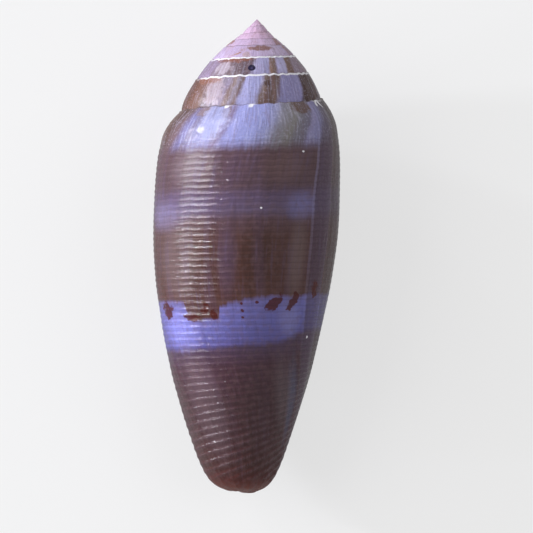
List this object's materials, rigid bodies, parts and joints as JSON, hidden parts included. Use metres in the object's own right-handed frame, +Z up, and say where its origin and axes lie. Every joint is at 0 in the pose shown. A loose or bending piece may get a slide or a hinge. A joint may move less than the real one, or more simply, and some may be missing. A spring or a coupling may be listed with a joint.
{
  "type": "cone shell",
  "caption": "Slender cone-shaped seashell with a low pointed spire and a long narrow opening, lying on its opening.",
  "frame": {"origin": "middle of the shell's bounding box, on the ground it lies on", "axes": "+Y along the shell toward its apex, +Z up out of its back, and the lip of the opening on the -X side underneath"},
  "size_m": [0.0176, 0.0448, 0.0168],
  "materials": {
    "shell": "polished natural shell, brown and violet bands"
  },
  "bodies": {
    "root": {"shell": "shell"}
  },
  "joints": []
}
